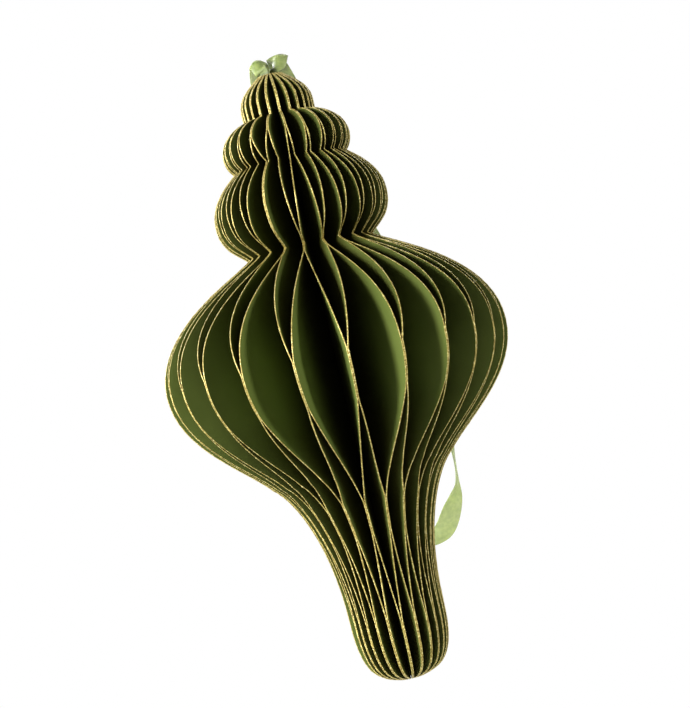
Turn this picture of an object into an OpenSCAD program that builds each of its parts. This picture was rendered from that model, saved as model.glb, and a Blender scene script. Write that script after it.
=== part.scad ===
// Hanging paper ornament in the shape of a finial. Half outlines cut from green card, with gold edges,
// stand round a common spine like the pages of a book opened all the way. Each leaf is glued to one
// neighbour in some bands and to its other neighbour in the bands between, so that its cells open as
// a honeycomb.
// A loop of ribbon comes out of the top and hangs down behind.
// Z points up along the spine. The origin is at the top of the spine, where the ribbon comes out,
// and -Y is the side that is seen first. Depths are measured down from the origin.

/* [Outline] */
// Depth of the crown's widest ring
crown_h = 8.2; // [6:0.1:11]
// Radius of the crown
crown_r = 9.6; // [7.5:0.1:13]
// From the crown's widest ring down to the first neck
neck_1_h = 3.1; // [2:0.1:5]
// Radius of the first neck
neck_1_r = 9.5; // [7:0.1:12]
// From the first neck down to the upper ring
ring_1_h = 7.5; // [5:0.1:10]
// Radius of the upper ring
ring_1_r = 16.9; // [14:0.1:20]
// From the upper ring down to the second neck
neck_2_h = 4.8; // [3:0.1:8]
// Radius of the second neck
neck_2_r = 14.9; // [11:0.1:18]
// From the second neck down to the lower ring
ring_2_h = 12.2; // [8:0.1:16]
// Radius of the lower ring
ring_2_r = 22.9; // [19:0.1:28]
// From the lower ring down to the third neck
neck_3_h = 10.6; // [7:0.1:14]
// Radius of the third neck
neck_3_r = 16.6; // [12:0.1:21]
// From the third neck down to the widest ring of the bowl
bowl_h = 29.9; // [22:0.1:38]
// Radius of the bowl
bowl_r = 45.2; // [36:0.1:55]
// From the bowl's widest ring down to the middle of its flank
flank_h = 29.7; // [22:0.1:38]
// Radius at the middle of the flank
flank_r = 23.8; // [18:0.1:30]
// From the middle of the flank down to where the stem is straight
stem_h = 38.0; // [26:0.1:48]
// Radius of the stem
stem_r = 12.5; // [9:0.1:17]
// From the straight stem down to the foot
foot_h = 16.8; // [10:0.1:24]

/* [Leaves] */
// Number of leaves, an even number
leaf_count = 56; // [40:2:56]
// Thickness of the card
card = 0.30; // [0.2:0.01:0.4]
// Slack between two leaves that are glued together
glue_gap = 0.03; // [0.02:0.01:0.06]
// Length of a leaf's edge at the top and the foot, beyond the spine
end_edge = 0.4; // [0.3:0.05:1]

/* [Glue bands] */
// Depth of the middle of the first band
glue_first = 11.0; // [9:0.1:12]
// From the middle of one band to the middle of the next
glue_pitch = 35.5; // [33:0.1:37]
// Height of the first band
glue_1_h = 10.6; // [6:0.2:14]
// Height of the second band
glue_2_h = 4.0; // [3:0.2:9]
// Height of the third band
glue_3_h = 11.8; // [8:0.2:20]
// Height of the fourth band
glue_4_h = 8.8; // [4:0.2:12]
// Height of the fifth band, which runs out at the foot
glue_5_h = 17.6; // [12:0.2:20]

/* [Opening of the cells] */
// Direction of the widest opening, to the left of the -Y side, in degrees
front_turn = 4.7; // [0:0.1:20]
// How far the cells at the front and back open at the cost of those at the sides, in degrees
front_open = 11.2; // [0:0.2:12]
// How much further they open on the shoulder of the bowl, in degrees
shoulder_open = 3.0; // [0:0.1:3.5]
// Unevenness of the gluing by hand, as a share of the space between two leaves
uneven = 0.04; // [0:0.01:0.15]
// Top of the one cell that stays shut beside the lower ring, as a depth
shut_top = 24.5; // [22:0.1:30]
// Height of the shut stretch of that cell
shut_h = 24.1; // [15:0.1:24.5]
// How far the one cell that gapes at the foot opens towards the front, in degrees
gape_front = 11.5; // [0:0.5:12]
// How far that cell opens towards the back, in degrees
gape_back = 13.5; // [0:0.5:15]

/* [Ribbon] */
// Width of the ribbon
ribbon_w = 6.0; // [4:0.1:6.5]
// Width of the ribbon where it is gathered in the spine
gather_w = 2.8; // [2.2:0.1:2.9]
// Thickness of the ribbon
ribbon_t = 0.4; // [0.2:0.05:0.5]

/* [Hidden] */
function leaf_name(k) = str("leaf_", k < 10 ? "0" : "", k);

card_green = "#2f4a1c";
ribbon_green = "#a9bd7c";

// The leaves touch at the spine, so the card fills the circle that their inner edges stand on.
leaf_step = 360 / leaf_count;
spine_r = leaf_count * (card + glue_gap) / (2 * PI);

// Outline: [depth, radius] at each ring and neck.
top = [0, spine_r + end_edge];
crown = [crown_h, crown_r];
neck_1 = [crown[0] + neck_1_h, neck_1_r];
ring_1 = [neck_1[0] + ring_1_h, ring_1_r];
neck_2 = [ring_1[0] + neck_2_h, neck_2_r];
ring_2 = [neck_2[0] + ring_2_h, ring_2_r];
neck_3 = [ring_2[0] + neck_3_h, neck_3_r];
bowl = [neck_3[0] + bowl_h, bowl_r];
flank = [bowl[0] + flank_h, flank_r];
stem = [flank[0] + stem_h, stem_r];
foot = [stem[0] + foot_h, spine_r + end_edge];

function cubic(a, b, c, d, t) =
    a * pow(1 - t, 3) + 3 * b * t * pow(1 - t, 2) + 3 * c * t * t * (1 - t) + d * pow(t, 3);
function share(d, s) = [d[0] * s[0], d[1] * s[1]];
// A curve from one ring or neck to the next, without its first point. The two handles are shares
// of the way [down, out]: a share of 0 out keeps the curve upright there.
function curve(from, to, leave, arrive, steps) =
    let (way = to - from)
    [for (s = [1:steps]) cubic(from, from + share(way, leave), to - share(way, arrive), to, s / steps)];

outline = concat(
    [top],
    curve(top, crown, [0.27, 0.44], [0.47, 0], 4),
    curve(crown, neck_1, [0.50, 0], [0.30, 0.60], 2),
    curve(neck_1, ring_1, [0.05, 0.40], [0.55, 0], 4),
    curve(ring_1, neck_2, [0.60, 0], [0.10, 0.30], 2),
    curve(neck_2, ring_2, [0.20, 0.39], [0.48, 0], 4),
    curve(ring_2, neck_3, [0.63, 0], [0.26, 0.39], 3),
    curve(neck_3, bowl, [0.11, 0.12], [0.60, 0], 6),
    curve(bowl, flank, [0.47, 0], [0.23, 0.265], 4),
    curve(flank, stem, [0.05, 0.24], [0.65, 0], 3),
    curve(stem, foot, [0.86, 0], [0.08, 0.51], 4)
);
function radius(z) = lookup(z, outline);

// Glue bands: [depth of the middle, half the height, side], where side 1 joins leaves 1 and 2
// and side -1 joins leaves 2 and 3.
glue_heights = [glue_1_h, glue_2_h, glue_3_h, glue_4_h, glue_5_h];
glue_last = len(glue_heights) - 1;
bands = [for (b = [0:glue_last]) [glue_first + b * glue_pitch, glue_heights[b] / 2, b % 2 == 0 ? 1 : -1]];

// Leaves are counted from 1. The cells that differ from the rest lie between the named leaf and the next.
shut_leaf = 26;
shut_band = 1;
gape_leaf = 18;
gape_from = 119;
gape_full = 143;
gape_reach_front = 9;
gape_reach_back = 18;

// A number from -1 to 1 that looks random but is always the same for a pair of leaves and a use.
function wobble(n, use) = sin(n * 137 + use * 71);
band_wobble = 0.10;
use_upper = 3;
use_lower = 5;
// Pairs of leaves glued to each other, counted from the front. The last leaf and the first are a pair.
pairs = leaf_count / 2;
front_pair = floor(pairs / 2);
function pair(k, side) = (side > 0 ? floor((k - 1) / 2) : floor(k / 2) % pairs) - front_pair;
function is_shut(k, b) = b == shut_band && (k == shut_leaf || k == shut_leaf + 1);
function band_half(k, b) = bands[b][1] * (1 + band_wobble * wobble(pair(k, bands[b][2]), b));
function band_start(k, b) = is_shut(k, b) ? shut_top : bands[b][0] - band_half(k, b);
function band_end(k, b) = is_shut(k, b) ? shut_top + shut_h : bands[b][0] + band_half(k, b);

// Which neighbour a leaf leans to at a depth: 1 and -1 in the glue bands, and between two bands
// its edge runs straight from one to the other.
function lean(k, z) =
    let (b = max([for (i = [0:glue_last]) i == 0 || z >= band_start(k, i) ? i : 0]))
    b == glue_last || z <= band_end(k, b) ? bands[b][2] :
    let (
        from = band_end(k, b),
        to = band_start(k, b + 1),
        x = (z - from) / (to - from),
        sideways = bands[b][2] * radius(from) * (1 - x) + bands[b + 1][2] * radius(to) * x
    )
    max(-1, min(1, sideways / radius(z)));

// Turn about the spine for a place counted in leaves, 0 at the middle of the front.
function shoulder(z) = sin(180 * max(0, min(1, (z - neck_3[0]) / bowl_h)));
function fan(place, z) =
    let (even = place * leaf_step)
    even - front_turn + (front_open + shoulder_open * shoulder(z)) * sin(2 * even);
function gape(place, z) =
    let (
        open = max(0, min(1, (z - gape_from) / (gape_full - gape_from))),
        off = place - place_of(gape_leaf + 0.5)
    )
    open * (off > 0 ? gape_front * max(0, 1 - off / gape_reach_front)
                    : -gape_back * max(0, 1 + off / gape_reach_back));

function place_of(k) = k - (leaf_count + 1) / 2;
function leaf_turn(k, z) =
    let (
        s = lean(k, z),
        place = place_of(k) + (k % 2 == 1 ? 1 : -1) * s / 2,
        slip_1 = wobble(pair(k, 1), use_upper) * (1 + s) / 2,
        slip_2 = wobble(pair(k, -1), use_lower) * (1 - s) / 2
    )
    fan(place + uneven * (slip_1 + slip_2), z) + gape(place, z);

// Turns are measured from the -Y side towards +X.
function ahead(turn) = [sin(turn), -cos(turn)];
function across(turn) = [cos(turn), sin(turn)];
function spine_point(k) = spine_r * ahead(place_of(k) * leaf_step - front_turn);

// Every third station of the outline has a point at the spine too.
station_last = len(outline) - 1;
spine_last = station_last / 3;
function edge_row(k, face) =
    [for (p = outline)
        let (turn = leaf_turn(k, p[0]),
             xy = spine_point(k) + (p[1] - spine_r) * ahead(turn) + face * card / 2 * across(turn))
        [xy[0], xy[1], -p[0]]];
function spine_row(k, face) =
    [for (j = [0:spine_last])
        let (z = outline[3 * j][0],
             xy = spine_point(k) + face * card / 2 * across(leaf_turn(k, z)))
        [xy[0], xy[1], -z]];

module leaf(k) {
    e = station_last + 1;
    s = spine_last + 1;
    // Rows of points: edge on one face, edge on the other, spine on one face, spine on the other.
    points = concat(edge_row(k, -1), edge_row(k, 1), spine_row(k, -1), spine_row(k, 1));
    e2 = e;
    s1 = 2 * e;
    s2 = 2 * e + s;
    faces = concat(
        [for (j = [0:spine_last - 1]) let (o = 3 * j, i = s1 + j)
            each [[i, o, o + 1], [i, o + 1, i + 1], [i + 1, o + 1, o + 2], [i + 1, o + 2, o + 3]]],
        [for (j = [0:spine_last - 1]) let (o = e2 + 3 * j, i = s2 + j)
            each [[i, o + 1, o], [i, i + 1, o + 1], [i + 1, o + 2, o + 1], [i + 1, o + 3, o + 2]]],
        [for (j = [0:station_last - 1]) each [[j, e2 + j, e2 + j + 1], [j, e2 + j + 1, j + 1]]],
        [for (j = [0:spine_last - 1]) let (i = s1 + j, m = s2 + j)
            each [[i, i + 1, m + 1], [i, m + 1, m]]],
        [[s1, s2, e2], [s1, e2, 0]],
        [[s1 + spine_last, station_last, e2 + station_last],
         [s1 + spine_last, e2 + station_last, s2 + spine_last]]
    );
    color(card_green) polyhedron(points = points, faces = faces, convexity = 10);
}

// Route of the ribbon: [x, y, z, turn of its width about Z, how far its two edges curl to one side].
// One strand leaves the spine, bends over the crown and lies down the back, the loop hangs free below
// the bowl, and the other strand comes back up.
route = [
    [1.4, 0.6, -7, -32, 0], [1.4, 0.6, 0.4, -30, 0], [2.6, 1.2, 2.4, -26, 0.8],
    [3.1, 3.2, 5.2, -28, 1.3], [2.9, 5.8, 5.8, -34, 1.3], [3.5, 8.2, 2.2, -33, 0.5],
    [4.5, 9.5, -2, -33, 0.2], [5.6, 11, -8, -33, 0], [8.8, 14.2, -14.8, -34, 0],
    [10.4, 15.4, -20, -35, 0], [13.3, 19.7, -34, -34, 0], [19.4, 29.2, -52, -34, 0],
    [24, 36.2, -66, -33, 0], [25.5, 38.8, -78, -27, 0], [26, 39.4, -94, 32, 0],
    [25.8, 39.2, -107, 78, 0], [25.1, 39.8, -115.5, 79, 0], [23.8, 40.2, -119.6, 50, 0],
    [21.7, 41, -123.6, 18, 0], [19.1, 42.2, -127.8, 3, 0], [15.9, 43.6, -130.4, 8, 0],
    [10.8, 45.4, -131.8, 20, 0], [5.4, 46.8, -129.6, 20, 0], [1.4, 47.2, -122, 9, 0],
    [-1.2, 46.9, -106, 0, 0], [-2, 46, -77, 0, 0], [-2.2, 43.4, -66, 0, 0], [-3, 35, -52, 0, 0],
    [-3.8, 23.7, -34, 0, 0], [-4, 18, -20, 0, 0], [-3.9, 16.6, -14.8, 0, 0], [-3.2, 10.9, -8, 0, 0],
    [-2.8, 9.4, -2, 4, -0.2], [-2.5, 7.6, 2, 4, -0.7], [-2.3, 4.4, 5.1, -2, -1.4],
    [-2.6, 1.2, 4.8, -12, -1.4], [-2.4, -0.6, 2.1, -24, -0.9], [-1.45, -0.9, 0.2, -30, 0],
    [-1.45, -0.9, -7, -30, 0]
];
route_last = len(route) - 1;

function xyz(p) = [p[0], p[1], p[2]];
function unit(v) = v / norm(v);
function along(i) = unit(xyz(route[min(route_last, i + 1)]) - xyz(route[max(0, i - 1)]));
function wide(i) =
    let (w = [cos(route[i][3]), sin(route[i][3]), 0], t = along(i))
    unit(w - (w * t) * t);
// The ribbon is gathered in the spine, and flat again at the third point from there.
gather_last = 1;
gather_flat = 3;
function half_width(i) =
    let (flat = (min(i, route_last - i) - gather_last) / (gather_flat - gather_last))
    (gather_w + (ribbon_w - gather_w) * max(0, min(1, flat))) / 2;
// A curled ribbon is as wide as a flat one along its curve, and so narrower from edge to edge.
function half_span(i) =
    let (half = half_width(i), curl = route[i][4])
    (half + sqrt(max(0, half * half - 8 / 3 * curl * curl))) / 2;
// Section of the ribbon, in halves of its width and thickness.
section = [
    [-1, -1], [-0.5, -1], [0, -1], [0.5, -1], [1, -1],
    [1, 1], [0.5, 1], [0, 1], [-0.5, 1], [-1, 1]
];
sides = len(section);

module ribbon() {
    rings = [for (i = [0:route_last]) let (w = wide(i), n = cross(along(i), w))
        [for (q = section)
            let (
                sideways = q[0] * half_span(i),
                outward = route[i][4] * q[0] * q[0] + q[1] * ribbon_t / 2
            )
            xyz(route[i]) + sideways * w + outward * n]];
    walls = [for (i = [0:route_last - 1], j = [0:sides - 1])
        let (a = i * sides + j, b = i * sides + (j + 1) % sides)
        each [[a, a + sides, b], [b, a + sides, b + sides]]];
    // Each end is closed by quads from its lower points to the upper ones across from them.
    far = route_last * sides;
    ends = [for (j = [0:sides / 2 - 2])
        let (k = sides - 1 - j)
        each [[j, j + 1, k - 1, k], [far + k, far + k - 1, far + j + 1, far + j]]];
    points = [for (r = rings) each r];
    color(ribbon_green) polyhedron(points = points, faces = concat(walls, ends), convexity = 10);
}

for (k = [1:leaf_count]) {
    leaf(k);
}
ribbon();
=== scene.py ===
"""Looks of the honeycomb ornament: green card leaves with gold glitter edges, and a satin ribbon.

Lengths are in millimetres in the functions that shape a piece, and are turned to metres when its
mesh is made. Z points up along the spine, -Y is the side that is seen first, and depths are
measured down from the top.
"""
import math

import bpy
import numpy as np
from mathutils import Matrix, Vector


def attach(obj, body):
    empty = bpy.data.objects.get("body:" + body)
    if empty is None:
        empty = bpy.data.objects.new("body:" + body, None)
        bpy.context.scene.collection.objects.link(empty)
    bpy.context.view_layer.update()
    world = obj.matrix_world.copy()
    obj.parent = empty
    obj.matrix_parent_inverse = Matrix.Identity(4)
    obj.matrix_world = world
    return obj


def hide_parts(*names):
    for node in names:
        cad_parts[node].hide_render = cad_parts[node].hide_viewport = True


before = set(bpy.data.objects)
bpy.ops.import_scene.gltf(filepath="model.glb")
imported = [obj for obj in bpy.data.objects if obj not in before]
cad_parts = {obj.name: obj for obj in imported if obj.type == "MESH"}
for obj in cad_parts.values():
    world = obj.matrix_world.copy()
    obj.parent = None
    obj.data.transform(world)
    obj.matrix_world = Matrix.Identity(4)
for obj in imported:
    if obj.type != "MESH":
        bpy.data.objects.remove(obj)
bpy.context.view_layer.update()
MM = 0.001

# Card and spine, as in the part. CARD_SEEN leaves room for the glitter within the card's thickness.
CARD = 0.30
GLUE_GAP = 0.03
LEAVES = 56
LEAF_STEP = 360 / LEAVES
SPINE_R = LEAVES * (CARD + GLUE_GAP) / (2 * math.pi)
CARD_SEEN = 0.26
END_EDGE = 0.4

# Outline, as in the part: rings and necks as (depth, radius)
TOP = (0, SPINE_R + END_EDGE)
CROWN = (8.2, 9.6)
NECK_1 = (11.3, 9.5)
RING_1 = (18.8, 16.9)
NECK_2 = (23.6, 14.9)
RING_2 = (35.8, 22.9)
NECK_3 = (46.4, 16.6)
BOWL = (76.3, 45.2)
FLANK = (106.0, 23.8)
STEM = (144.0, 12.5)
FOOT = (160.8, SPINE_R + END_EDGE)
# Each curve: from, to, its two handles as shares of the way (down, out), and its number of steps
CURVES = [
    (TOP, CROWN, (0.27, 0.44), (0.47, 0), 12),
    (CROWN, NECK_1, (0.50, 0), (0.30, 0.60), 5),
    (NECK_1, RING_1, (0.05, 0.40), (0.55, 0), 12),
    (RING_1, NECK_2, (0.60, 0), (0.10, 0.30), 8),
    (NECK_2, RING_2, (0.20, 0.39), (0.48, 0), 12),
    (RING_2, NECK_3, (0.63, 0), (0.26, 0.39), 11),
    (NECK_3, BOWL, (0.11, 0.12), (0.60, 0), 20),
    (BOWL, FLANK, (0.47, 0), (0.23, 0.265), 16),
    (FLANK, STEM, (0.05, 0.24), (0.65, 0), 16),
    (STEM, FOOT, (0.86, 0), (0.08, 0.51), 14),
]

# Glue bands: (depth of the middle, half the height, side)
BANDS = [(11.0, 5.3, 1), (46.5, 2.0, -1), (82.0, 5.9, 1), (117.5, 4.4, -1), (153.0, 8.8, 1)]
BAND_WOBBLE = 0.10

# Fan of the leaves: its turn, how far it opens at the front and on the bowl's shoulder, and its slips
FRONT_TURN = 4.7
FRONT_OPEN = 11.2
SHOULDER_OPEN, SHOULDER_TOP, SHOULDER_H = 3.0, 46.4, 29.9
UNEVEN = 0.04
USE_UPPER, USE_LOWER = 3, 5

# The cell that stays shut beside the lower ring, and the one that gapes at the foot
SHUT_LEAF, SHUT_BAND, SHUT_TOP, SHUT_H = 26, 1, 24.5, 24.1
GAPE_LEAF, GAPE_FROM, GAPE_FULL = 18, 119, 143
GAPE_FRONT, GAPE_BACK = 11.5, 13.5
GAPE_REACH_FRONT, GAPE_REACH_BACK = 9, 18

# Route of the ribbon, as in the part: x, y, z, the turn of its width about Z and the curl of its edges
ROUTE = [
    (1.4, 0.6, -7, -32, 0), (1.4, 0.6, 0.4, -30, 0), (2.6, 1.2, 2.4, -26, 0.8),
    (3.1, 3.2, 5.2, -28, 1.3), (2.9, 5.8, 5.8, -34, 1.3), (3.5, 8.2, 2.2, -33, 0.5),
    (4.5, 9.5, -2, -33, 0.2), (5.6, 11, -8, -33, 0), (8.8, 14.2, -14.8, -34, 0),
    (10.4, 15.4, -20, -35, 0), (13.3, 19.7, -34, -34, 0), (19.4, 29.2, -52, -34, 0),
    (24, 36.2, -66, -33, 0), (25.5, 38.8, -78, -27, 0), (26, 39.4, -94, 32, 0),
    (25.8, 39.2, -107, 78, 0), (25.1, 39.8, -115.5, 79, 0), (23.8, 40.2, -119.6, 50, 0),
    (21.7, 41, -123.6, 18, 0), (19.1, 42.2, -127.8, 3, 0), (15.9, 43.6, -130.4, 8, 0),
    (10.8, 45.4, -131.8, 20, 0), (5.4, 46.8, -129.6, 20, 0), (1.4, 47.2, -122, 9, 0),
    (-1.2, 46.9, -106, 0, 0), (-2, 46, -77, 0, 0), (-2.2, 43.4, -66, 0, 0), (-3, 35, -52, 0, 0),
    (-3.8, 23.7, -34, 0, 0), (-4, 18, -20, 0, 0), (-3.9, 16.6, -14.8, 0, 0), (-3.2, 10.9, -8, 0, 0),
    (-2.8, 9.4, -2, 4, -0.2), (-2.5, 7.6, 2, 4, -0.7), (-2.3, 4.4, 5.1, -2, -1.4),
    (-2.6, 1.2, 4.8, -12, -1.4), (-2.4, -0.6, 2.1, -24, -0.9), (-1.45, -0.9, 0.2, -30, 0),
    (-1.45, -0.9, -7, -30, 0),
]
RIBBON_W = 6.0
GATHER_W = 2.8
RIBBON_T = 0.15
RIBBON_STEPS = 8
RIBBON_COLUMNS = 13

# Camera: a long lens half a metre in front of the spine. The ornament leans to the left in the picture.
CAMERA_AT = Vector((0, -500, -94)) * MM
CAMERA_AIM = Vector((2.39, 0, -75.48)) * MM
CAMERA_LEAN = 13.32
PIXELS_A_RADIAN = 1920
PICTURE_H = 708
SENSOR = 36


def make_camera():
    data = bpy.data.cameras.new("camera")
    data.sensor_width = SENSOR
    data.lens = PIXELS_A_RADIAN / PICTURE_H * SENSOR
    data.clip_start = 0.01
    camera = bpy.data.objects.new("camera", data)
    bpy.context.scene.collection.objects.link(camera)
    ahead = (CAMERA_AIM - CAMERA_AT).normalized()
    level = ahead.cross(Vector((0, 0, 1))).normalized()
    upright = level.cross(ahead)
    lean = math.radians(CAMERA_LEAN)
    right = level * math.cos(lean) - upright * math.sin(lean)
    up = level * math.sin(lean) + upright * math.cos(lean)
    turn = Matrix((right, up, -ahead)).transposed().to_4x4()
    camera.matrix_world = Matrix.Translation(CAMERA_AT) @ turn
    bpy.context.scene.camera = camera


SHARP_DEG = 45


def new_object(name, points, faces, materials, face_material=None):
    """A smooth mesh from points in millimetres, with hard edges where faces meet sharply."""
    mesh = bpy.data.meshes.new(name)
    mesh.from_pydata((np.asarray(points) * MM).tolist(), [], faces)
    for material in materials:
        mesh.materials.append(material)
    if face_material is not None:
        mesh.polygons.foreach_set("material_index", face_material)
    mesh.shade_smooth()
    mesh.set_sharp_from_angle(angle=math.radians(SHARP_DEG))
    mesh.update()
    piece = bpy.data.objects.new(name, mesh)
    bpy.context.scene.collection.objects.link(piece)
    return piece


def grid_faces(rows, columns, first=0, closed=False, flip=False):
    """Quads between rows of points. A closed grid joins its last column to its first."""
    faces = []
    for r in range(rows - 1):
        for c in range(columns if closed else columns - 1):
            d = (c + 1) % columns
            a, b = first + r * columns + c, first + r * columns + d
            quad = (a, b, b + columns, a + columns)
            faces.append(quad[::-1] if flip else quad)
    return faces


def unit(v):
    return v / np.linalg.norm(v, axis=-1, keepdims=True)


# Materials
def new_material(name):
    material = bpy.data.materials.new(name)
    material.use_nodes = True
    tree = material.node_tree
    return material, tree, tree.nodes["Principled BSDF"]


def add_node(tree, kind, **values):
    """A node with its inputs set by name, and its own settings too."""
    node = tree.nodes.new(kind)
    for key, value in values.items():
        if key in node.inputs:
            node.inputs[key].default_value = value
        else:
            setattr(node, key, value)
    return node


def ramp(tree, source, stops):
    """A colour ramp on a factor, with stops as (place, colour)."""
    node = tree.nodes.new("ShaderNodeValToRGB")
    elements = node.color_ramp.elements
    while len(elements) < len(stops):
        elements.new(0.5)
    for element, (place, colour) in zip(elements, stops):
        element.position = place
        element.color = (*colour, 1)
    tree.links.new(source, node.inputs["Fac"])
    return node


def noise(tree, coordinates, scale, detail, roughness=0.5):
    node = add_node(tree, "ShaderNodeTexNoise", Scale=scale, Detail=detail, Roughness=roughness)
    tree.links.new(coordinates, node.inputs["Vector"])
    return node


def bump(tree, height, strength, distance):
    node = add_node(tree, "ShaderNodeBump", Strength=strength, Distance=distance)
    tree.links.new(height, node.inputs["Height"])
    return node


def painted_shade_from_cover(tree, colour, reach, stops):
    """Painted shade: the colour times a ramp on how open the surface is to what lies within reach, darker
    where shade falls in recesses.
    """
    cover = add_node(tree, "ShaderNodeAmbientOcclusion", Distance=reach, samples=4)
    depth = ramp(tree, cover.outputs["AO"], stops)
    mixed = add_node(tree, "ShaderNodeMix", data_type="RGBA", blend_type="MULTIPLY")
    mixed.inputs["Factor"].default_value = 1.0
    tree.links.new(colour.outputs["Color"], mixed.inputs[6])
    tree.links.new(depth.outputs["Color"], mixed.inputs[7])
    return mixed.outputs[2]


def card_material():
    """Uncoated olive green card with a fine tooth, and painted shade that makes it darker and browner
    deep in the cells.
    """
    material, tree, shader = new_material("olive_card")
    place = tree.nodes.new("ShaderNodeTexCoord").outputs["Object"]
    cloud = noise(tree, place, 60, 2)
    tooth = noise(tree, place, 2600, 2)
    shades = [(0.30, (0.112, 0.147, 0.031)), (0.70, (0.131, 0.168, 0.038))]
    colour = ramp(tree, cloud.outputs["Fac"], shades)
    # Painted shade: the card turns darker and browner where the cells close in.
    colour_with_painted_shade = painted_shade_from_cover(tree, colour, 0.010, [(0.26, (0.26, 0.19, 0.12)), (0.70, (1, 1, 1))])
    tree.links.new(colour_with_painted_shade, shader.inputs["Base Color"])
    shader.inputs["Roughness"].default_value = 0.85
    shader.inputs["Specular IOR Level"].default_value = 0.06
    grain = bump(tree, tooth.outputs["Fac"], 0.25, 0.00006)
    tree.links.new(grain.outputs["Normal"], shader.inputs["Normal"])
    return material


def gold_material():
    """Pale gold glitter in clear glue: flakes of slightly different tone and tilt."""
    material, tree, shader = new_material("gold_glitter")
    place = tree.nodes.new("ShaderNodeTexCoord").outputs["Object"]
    flakes = add_node(tree, "ShaderNodeTexVoronoi", Scale=4200)
    tree.links.new(place, flakes.inputs["Vector"])
    tone = add_node(tree, "ShaderNodeSeparateColor")
    tree.links.new(flakes.outputs["Color"], tone.inputs["Color"])
    shades = [
        (0.00, (0.18, 0.12, 0.02)), (0.35, (0.37, 0.28, 0.06)),
        (0.75, (0.57, 0.47, 0.12)), (1.00, (0.88, 0.78, 0.34)),
    ]
    colour = ramp(tree, tone.outputs["Red"], shades)
    tree.links.new(colour.outputs["Color"], shader.inputs["Base Color"])
    shader.inputs["Metallic"].default_value = 0.35
    shader.inputs["Roughness"].default_value = 0.45
    tilt = bump(tree, tone.outputs["Green"], 0.5, 0.00008)
    tree.links.new(tilt.outputs["Normal"], shader.inputs["Normal"])
    return material


def ribbon_material():
    """Light green satin with a fine weave, and painted shade that makes it darker deep in its folds."""
    material, tree, shader = new_material("green_satin")
    place = tree.nodes.new("ShaderNodeTexCoord").outputs["Object"]
    cloud = noise(tree, place, 700, 4, 0.6)
    shades = [(0.30, (0.17, 0.23, 0.06)), (0.70, (0.26, 0.32, 0.09))]
    colour = ramp(tree, cloud.outputs["Fac"], shades)
    # Painted shade: the satin goes nearly black deep in its folds and where the strands meet.
    colour_with_painted_shade = painted_shade_from_cover(tree, colour, 0.005, [(0.50, (0.02, 0.03, 0.01)), (0.80, (1, 1, 1))])
    tree.links.new(colour_with_painted_shade, shader.inputs["Base Color"])
    shader.inputs["Roughness"].default_value = 0.42
    shader.inputs["Specular IOR Level"].default_value = 0.2
    shader.inputs["Subsurface Weight"].default_value = 1.0
    shader.inputs["Subsurface Radius"].default_value = (1.0, 1.0, 0.9)
    shader.inputs["Subsurface Scale"].default_value = 0.0010
    shader.inputs["Sheen Weight"].default_value = 0.08
    shader.inputs["Sheen Roughness"].default_value = 0.4
    weave = noise(tree, place, 3200, 1)
    rib = bump(tree, weave.outputs["Fac"], 0.2, 0.00005)
    tree.links.new(rib.outputs["Normal"], shader.inputs["Normal"])
    return material


# Ribbon
def smooth_route(steps):
    """The route's points with a smooth curve between them."""
    points = np.array(ROUTE, float)
    last = len(points) - 1
    out = []
    for i in range(last):
        a, b, c, d = (points[min(last, max(0, j))] for j in (i - 1, i, i + 1, i + 2))
        for t in np.arange(steps) / steps:
            bend = 2 * a - 5 * b + 4 * c - d + t * (3 * b - a - 3 * c + d)
            out.append(b + t / 2 * (c - a + t * bend))
    return np.array(out + [points[last]])


def make_ribbon():
    route = smooth_route(RIBBON_STEPS)
    path, turn, curl = route[:, :3], np.radians(route[:, 3]), route[:, 4]
    along = unit(np.gradient(path, axis=0))
    wide = np.stack([np.cos(turn), np.sin(turn), np.zeros_like(turn)], 1)
    wide = unit(wide - (wide * along).sum(1)[:, None] * along)
    out = np.cross(along, wide)
    number = np.arange(len(path))
    inside = np.minimum(number, number[::-1]) / RIBBON_STEPS
    half = (GATHER_W + (RIBBON_W - GATHER_W) * np.clip((inside - 1) / 2, 0, 1)) / 2
    # A curled ribbon spans less, so that its width along its own curve stays as it is
    half = (half + np.sqrt(half * half - 8 / 3 * curl * curl)) / 2
    across = np.linspace(-1, 1, RIBBON_COLUMNS)
    section = [(x, -1) for x in across] + [(x, 1) for x in across[::-1]]
    rings = []
    for x, y in section:
        sideways, outward = x * half, curl * x * x + y * RIBBON_T / 2
        rings.append(path + wide * sideways[:, None] + out * outward[:, None])
    points = np.stack(rings, 1).reshape(-1, 3)
    columns = len(section)
    faces = grid_faces(len(path), columns, closed=True, flip=True)
    faces.append(tuple(range(columns)))
    faces.append(tuple(range((len(path) - 1) * columns, len(path) * columns))[::-1])
    piece = new_object("satin_ribbon", points, faces, [ribbon_material()])
    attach(piece, "root")
    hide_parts("ribbon")


# Leaves
def cubic(a, b, c, d, t):
    return a * (1 - t) ** 3 + 3 * b * t * (1 - t) ** 2 + 3 * c * t * t * (1 - t) + d * t ** 3


def outline():
    """Depth and radius at the stations of a leaf's edge."""
    rows = [np.array([TOP])]
    for start, end, leave, arrive, steps in CURVES:
        start, end = np.array(start, float), np.array(end, float)
        way = end - start
        t = (np.arange(steps) + 1)[:, None] / steps
        rows.append(cubic(start, start + way * leave, end - way * arrive, end, t))
    return np.concatenate(rows)


OUTLINE = outline()


def radius(depth):
    return np.interp(depth, OUTLINE[:, 0], OUTLINE[:, 1])


def wobble(n, use):
    return math.sin(math.radians(n * 137 + use * 71))


def pair(k, side):
    pairs = LEAVES // 2
    return ((k - 1) // 2 if side > 0 else (k // 2) % pairs) - pairs // 2


def band_range(k, b):
    middle, half, side = BANDS[b]
    if b == SHUT_BAND and k in (SHUT_LEAF, SHUT_LEAF + 1):
        return SHUT_TOP, SHUT_TOP + SHUT_H
    half *= 1 + BAND_WOBBLE * wobble(pair(k, side), b)
    return middle - half, middle + half


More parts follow.
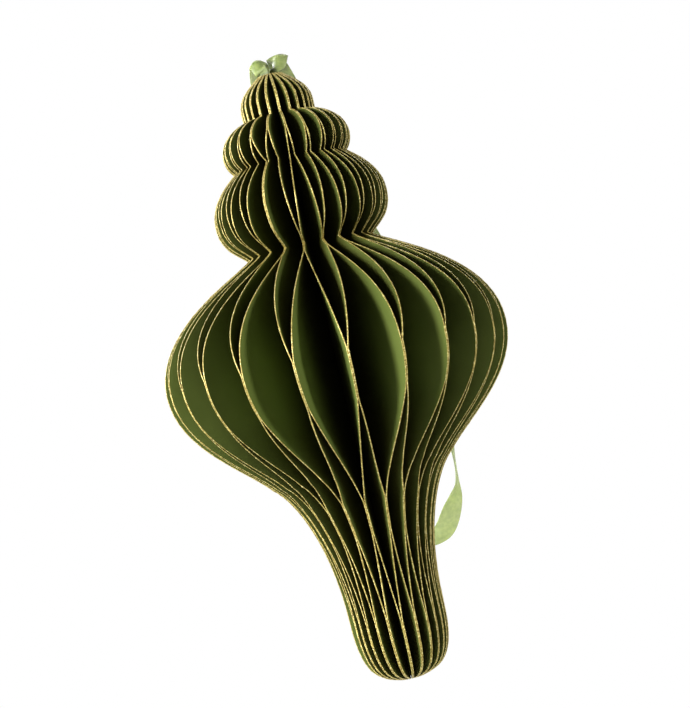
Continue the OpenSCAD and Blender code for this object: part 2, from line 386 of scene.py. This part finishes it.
def lean(k, depth):
    """Which neighbour a leaf leans to, 1 or -1 in a glue band. Between two bands its edge is straight."""
    ranges = [band_range(k, b) for b in range(len(BANDS))]
    result = np.empty_like(depth)
    for i, z in enumerate(depth):
        b = max(n for n in range(len(BANDS)) if n == 0 or z >= ranges[n][0])
        side = BANDS[b][2]
        if b == len(BANDS) - 1 or z <= ranges[b][1]:
            result[i] = side
            continue
        start, end = ranges[b][1], ranges[b + 1][0]
        x = (z - start) / (end - start)
        sideways = side * radius(start) * (1 - x) + BANDS[b + 1][2] * radius(end) * x
        result[i] = max(-1, min(1, sideways / radius(z)))
    return result


def place_of(k):
    return k - (LEAVES + 1) / 2


def leaf_turn(k, depth):
    """Turn of a leaf about the spine at each depth, in degrees from -Y towards +X."""
    s = lean(k, depth)
    place = place_of(k) + (1 if k % 2 else -1) * s / 2
    slip = wobble(pair(k, 1), USE_UPPER) * (1 + s) / 2 + wobble(pair(k, -1), USE_LOWER) * (1 - s) / 2
    even = (place + UNEVEN * slip) * LEAF_STEP
    shoulder = np.sin(np.pi * np.clip((depth - SHOULDER_TOP) / SHOULDER_H, 0, 1))
    opening = FRONT_OPEN + SHOULDER_OPEN * shoulder
    fan = even - FRONT_TURN + opening * np.sin(np.radians(2 * even))
    opened = np.clip((depth - GAPE_FROM) / (GAPE_FULL - GAPE_FROM), 0, 1)
    off = place - place_of(GAPE_LEAF + 0.5)
    to_front = GAPE_FRONT * np.maximum(0, 1 - off / GAPE_REACH_FRONT)
    to_back = GAPE_BACK * np.maximum(0, 1 + off / GAPE_REACH_BACK)
    return fan + opened * np.where(off > 0, to_front, -to_back)


def leaf_rows(k, depth):
    """Spine point, direction away from the spine and direction across the leaf, at each depth."""
    turn = np.radians(leaf_turn(k, depth))
    ahead = np.stack([np.sin(turn), -np.cos(turn), np.zeros_like(turn)], 1)
    across = np.stack([np.cos(turn), np.sin(turn), np.zeros_like(turn)], 1)
    stand = math.radians(place_of(k) * LEAF_STEP - FRONT_TURN)
    spine = np.stack([np.full_like(depth, SPINE_R * math.sin(stand)),
                      np.full_like(depth, -SPINE_R * math.cos(stand)), -depth], 1)
    return spine, ahead, across


COLUMNS = 6
BEAD_PITCH = 0.6
BEAD_SIDES = 8
BEAD_WIDE = 0.14
BEAD_DEEP = 0.10
BEAD_SEED = 1000
GRAIN_STEP = 3
GRAIN_WIDE, GRAIN_DEEP = 0.12, 0.15
ROUGH_WIDE, ROUGH_DEEP = 0.10, 0.15
FLECK_SHARE = 0.02
FLECK_GROWS = 0.6


def card_mesh(k):
    """The card of a leaf: two faces from the spine to the edge, closed by narrow rims."""
    depth, r = OUTLINE[:, 0], OUTLINE[:, 1]
    spine, ahead, across = leaf_rows(k, depth)
    share = np.linspace(0, 1, COLUMNS + 1)
    reach = (r - SPINE_R)[:, None, None] * share[None, :, None]
    middle = spine[:, None, :] + reach * ahead[:, None, :]
    offset = across[:, None, :] * CARD_SEEN / 2
    rows, columns = len(depth), COLUMNS + 1
    ring = np.concatenate([middle + offset, (middle - offset)[:, ::-1]], 1)
    points = ring.reshape(-1, 3)
    faces = grid_faces(rows, 2 * columns, closed=True)
    for row, flip in ((0, True), (rows - 1, False)):
        first = row * 2 * columns
        for c in range(COLUMNS):
            quad = (first + c, first + c + 1, first + 2 * columns - 2 - c, first + 2 * columns - 1 - c)
            faces.append(quad[::-1] if flip else quad)
    return points, faces


def bead_mesh(k, first):
    """The glitter on the leaf's edge: an uneven bead that wraps over both faces."""
    rng = np.random.RandomState(BEAD_SEED + k)
    depth, r = OUTLINE[:, 0], OUTLINE[:, 1]
    way = np.concatenate([[0], np.cumsum(np.hypot(np.diff(depth), np.diff(r)))])
    count = int(way[-1] / BEAD_PITCH)
    stations = np.linspace(0, way[-1], count)
    depth, r = np.interp(stations, way, depth), np.interp(stations, way, r)
    spine, ahead, across = leaf_rows(k, depth)
    edge = spine + (r - SPINE_R)[:, None] * ahead
    along = unit(np.gradient(edge, axis=0))
    side = unit(across - (across * along).sum(1)[:, None] * along)
    out = np.cross(side, along)
    out *= np.sign((out * ahead).sum(1).mean())
    coarse = np.arange(0, count + GRAIN_STEP, GRAIN_STEP)
    grain = np.interp(np.arange(count), coarse, rng.uniform(-1, 1, len(coarse)))
    fleck = 1 + FLECK_GROWS * (rng.uniform(0, 1, count) < FLECK_SHARE)
    wide = BEAD_WIDE * fleck * (1 + GRAIN_WIDE * grain + ROUGH_WIDE * rng.uniform(-1, 1, count))
    deep = BEAD_DEEP * fleck * (1 + GRAIN_DEEP * grain + ROUGH_DEEP * rng.uniform(-1, 1, count))
    angle = np.arange(BEAD_SIDES) * 2 * np.pi / BEAD_SIDES + np.pi / BEAD_SIDES
    rings = [edge + side * (wide * np.cos(a))[:, None] + out * (deep * np.sin(a))[:, None] for a in angle]
    points = np.stack(rings, 1).reshape(-1, 3)
    faces = grid_faces(count, BEAD_SIDES, first, closed=True, flip=True)
    faces.append(tuple(range(first, first + BEAD_SIDES)))
    last = first + (count - 1) * BEAD_SIDES
    faces.append(tuple(range(last, last + BEAD_SIDES))[::-1])
    return points, faces


def make_leaf(k, card, gold):
    points, faces = card_mesh(k)
    bead_points, bead_faces = bead_mesh(k, len(points))
    which = np.concatenate([np.zeros(len(faces), np.int32), np.ones(len(bead_faces), np.int32)])
    points = np.concatenate([points, bead_points])
    piece = new_object(f"card_leaf_{k:02d}", points, faces + bead_faces, [card, gold], which)
    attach(piece, "root")
    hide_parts(f"leaf_{k:02d}")


# Stage and light: what the world lights with, and how much of the seen floor is plain white
WORLD_LEVEL = 0.045
FLOOR_WHITE = 0.88
FLOOR_Z = -750
FLOOR_R = 1200
FLOOR_SIDES = 96
LAMP_AIM = Vector((0, 0, -0.08))
LAMP_AWAY = 1.2


def seen_share(tree, share):
    """A factor that is share for what the camera, gloss and glass see, and 0 for the rays that light."""
    path = tree.nodes.new("ShaderNodeLightPath")
    seen = path.outputs["Is Camera Ray"]
    for other in ("Is Glossy Ray", "Is Transmission Ray"):
        most = add_node(tree, "ShaderNodeMath", operation="MAXIMUM")
        tree.links.new(seen, most.inputs[0])
        tree.links.new(path.outputs[other], most.inputs[1])
        seen = most.outputs[0]
    part = add_node(tree, "ShaderNodeMath", operation="MULTIPLY")
    tree.links.new(seen, part.inputs[0])
    part.inputs[1].default_value = share
    return part.outputs[0]


def make_floor():
    turns = np.arange(FLOOR_SIDES) * 2 * np.pi / FLOOR_SIDES
    rim = [(FLOOR_R * math.cos(a), FLOOR_R * math.sin(a), FLOOR_Z) for a in turns]
    floor = new_object("floor", rim, [tuple(range(FLOOR_SIDES))], [])
    material, tree, shader = new_material("pale_floor")
    shader.inputs["Base Color"].default_value = (0.80, 0.80, 0.79, 1)
    shader.inputs["Roughness"].default_value = 0.9
    white = add_node(tree, "ShaderNodeEmission", Color=(1, 1, 1, 1), Strength=1.0)
    mix = tree.nodes.new("ShaderNodeMixShader")
    tree.links.new(seen_share(tree, FLOOR_WHITE), mix.inputs["Fac"])
    tree.links.new(shader.outputs["BSDF"], mix.inputs[1])
    tree.links.new(white.outputs["Emission"], mix.inputs[2])
    tree.links.new(mix.outputs["Shader"], tree.nodes["Material Output"].inputs["Surface"])
    floor.data.materials.append(material)


def make_world():
    world = bpy.data.worlds.new("studio")
    world.use_nodes = True
    tree = world.node_tree
    lit = tree.nodes["Background"]
    lit.inputs["Color"].default_value = (1, 0.92, 0.80, 1)
    lit.inputs["Strength"].default_value = WORLD_LEVEL
    seen = add_node(tree, "ShaderNodeBackground", Color=(1, 1, 1, 1), Strength=1.0)
    mix = tree.nodes.new("ShaderNodeMixShader")
    tree.links.new(seen_share(tree, 1.0), mix.inputs["Fac"])
    tree.links.new(lit.outputs["Background"], mix.inputs[1])
    tree.links.new(seen.outputs["Background"], mix.inputs[2])
    tree.links.new(mix.outputs["Shader"], tree.nodes["World Output"].inputs["Surface"])
    bpy.context.scene.world = world


def make_lamp(name, azimuth, elevation, size, level):
    """A soft square lamp at an azimuth from -Y towards +X. At level 1 a colour shows as it is written."""
    data = bpy.data.lights.new(name, "AREA")
    data.shape = "SQUARE"
    data.size = size
    data.energy = level * (math.pi * LAMP_AWAY) ** 2
    lamp = bpy.data.objects.new(name, data)
    bpy.context.scene.collection.objects.link(lamp)
    turn, rise = math.radians(azimuth), math.radians(elevation)
    away = Vector((math.sin(turn) * math.cos(rise), -math.cos(turn) * math.cos(rise), math.sin(rise)))
    facing = away.to_track_quat("Z", "Y").to_matrix().to_4x4()
    lamp.matrix_world = Matrix.Translation(LAMP_AIM + away * LAMP_AWAY) @ facing


make_camera()
make_ribbon()
make_world()
make_lamp("left_lamp", -49, 15, 0.32, 1.4)
make_lamp("side_left_lamp", -78, 8, 0.50, 1.0)
make_lamp("right_lamp", 54, 4, 0.20, 0.55)
make_lamp("rear_left_lamp", -140, 25, 0.60, 1.0)
make_lamp("rear_right_lamp", 160, 25, 0.60, 0.35)
make_floor()
card, gold = card_material(), gold_material()
for k in range(1, LEAVES + 1):
    make_leaf(k, card, gold)

bpy.context.scene.view_settings.view_transform = "Standard"
